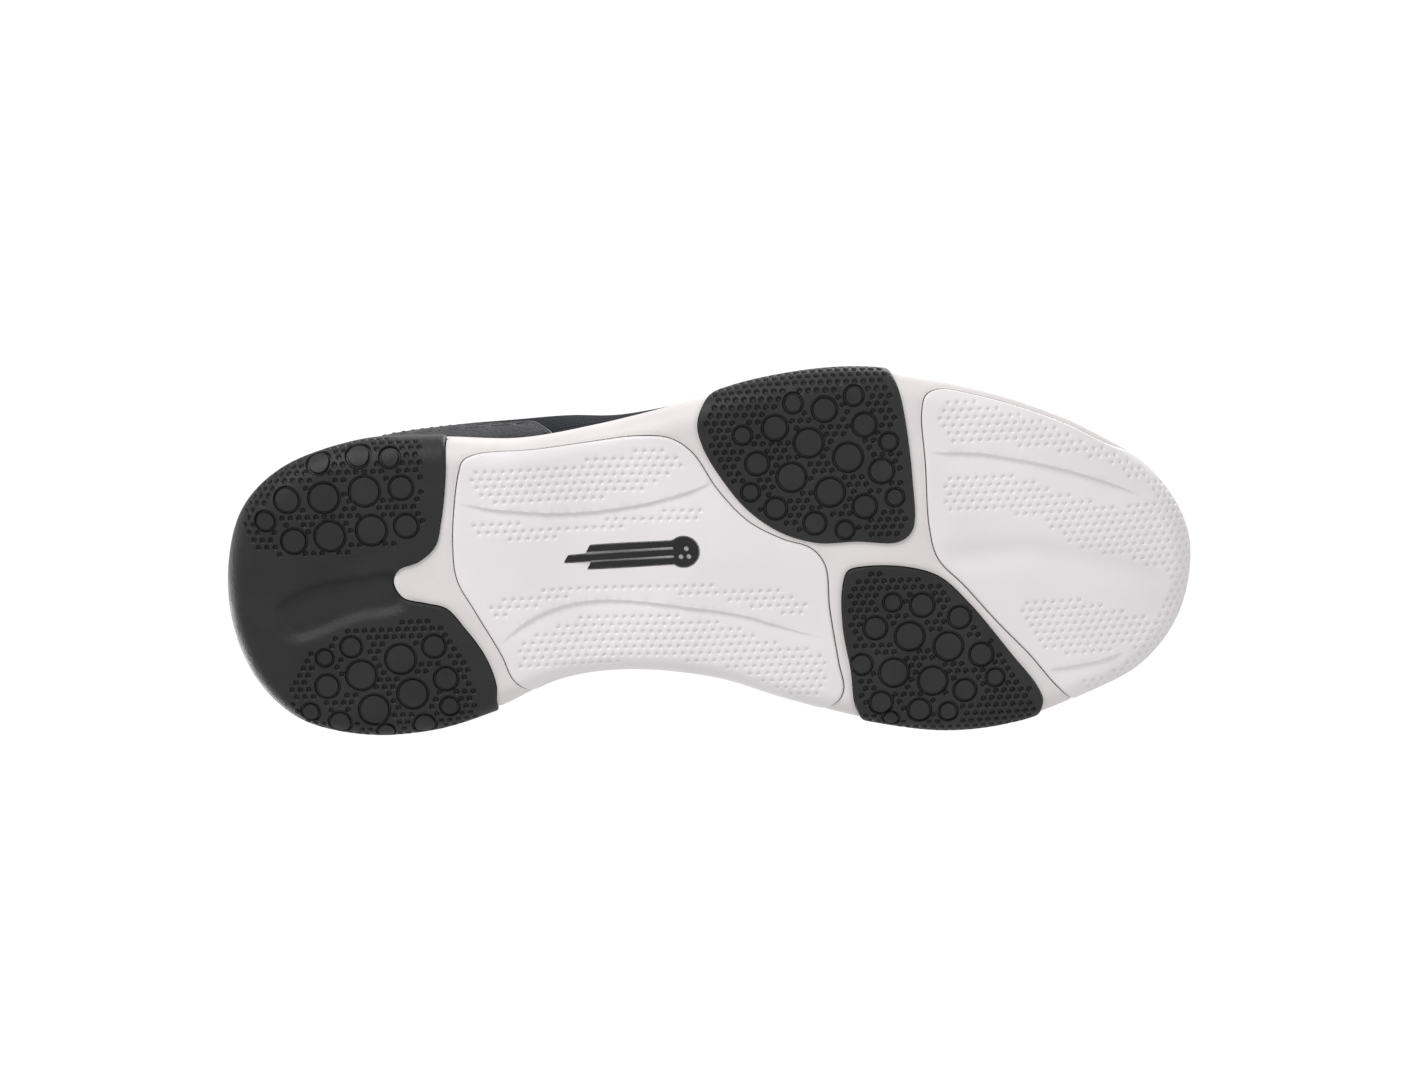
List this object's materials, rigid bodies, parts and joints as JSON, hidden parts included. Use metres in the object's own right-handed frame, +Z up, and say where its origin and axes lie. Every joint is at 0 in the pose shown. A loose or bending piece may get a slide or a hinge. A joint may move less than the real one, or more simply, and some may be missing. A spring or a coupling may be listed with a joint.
{
  "type": "bowling shoe",
  "caption": "Low-cut laced bowling shoe for the right foot, with a white foam midsole, black grip pads and smooth white slide panels under it.",
  "frame": {"origin": "centre of the bounding box in plan, on the floor plane under the sole", "axes": "+X towards the toe, +Y towards the arch (medial) side of the right foot, +Z up"},
  "size_m": [0.3002, 0.1151, 0.1278],
  "materials": {
    "white_foam": "soft moulded foam",
    "white_rubber": "semi-gloss moulded rubber",
    "black_rubber": "fine-grained matt rubber",
    "shank": "plain",
    "board": "stitched fibre board",
    "footbed": "brushed cloth over foam",
    "overlay_leather": "pebbled",
    "knit": "ribbed knit",
    "lining": "brushed lining",
    "eyelet": "dark satin",
    "lace": "woven"
  },
  "bodies": {
    "shoe": {"collar_lining": "lining", "collar_pad": "lining", "eyelet_lateral_1": "eyelet", "eyelet_lateral_2": "eyelet", "eyelet_lateral_3": "eyelet", "eyelet_lateral_4": "eyelet", "eyelet_lateral_5": "eyelet", "eyelet_lateral_6": "eyelet", "eyelet_medial_1": "eyelet", "eyelet_medial_2": "eyelet", "eyelet_medial_3": "eyelet", "eyelet_medial_4": "eyelet", "eyelet_medial_5": "eyelet", "eyelet_medial_6": "eyelet", "eyestay_lateral": "overlay_leather", "eyestay_medial": "overlay_leather", "forefoot_pad_lateral": "black_rubber", "forefoot_pad_medial": "black_rubber", "heel_counter_cover": "overlay_leather", "heel_counter_stiffener": "shank", "heel_lining": "lining", "heel_pad": "black_rubber", "heel_tab": "overlay_leather", "lace": "lace", "lasting_board": "board", "midfoot_panel": "white_rubber", "midsole": "white_foam", "quarter_lateral": "knit", "quarter_medial": "knit", "shank_plate": "shank", "sole_badge": "black_rubber", "toe_cap": "overlay_leather", "toe_panel": "white_rubber", "toe_puff": "shank", "vamp": "knit", "vamp_lining": "lining"},
    "tongue": {"tongue": "knit", "tongue_label": "lining"},
    "footbed": {"footbed": "footbed"},
    "pull_tab": {"pull_tab": "lace"}
  },
  "joints": [
    {"name": "tongue_hinge", "type": "hinge", "parent": "shoe", "child": "tongue", "pos_m": [0.062, 0.0025, 0.0572], "axis": [0, 1, 0], "range_deg": [-6, 0]},
    {"name": "footbed_lift", "type": "hinge", "parent": "shoe", "child": "footbed", "pos_m": [0.137, 0.005, 0.0254], "axis": [0, 1, 0], "range_deg": [0, 2]},
    {"name": "pull_tab_hinge", "type": "hinge", "parent": "shoe", "child": "pull_tab", "pos_m": [-0.134, 0.005, 0.094], "axis": [0, 1, 0], "range_deg": [-60, 20], "stiffness_Nm_per_rad": 0.004}
  ]
}
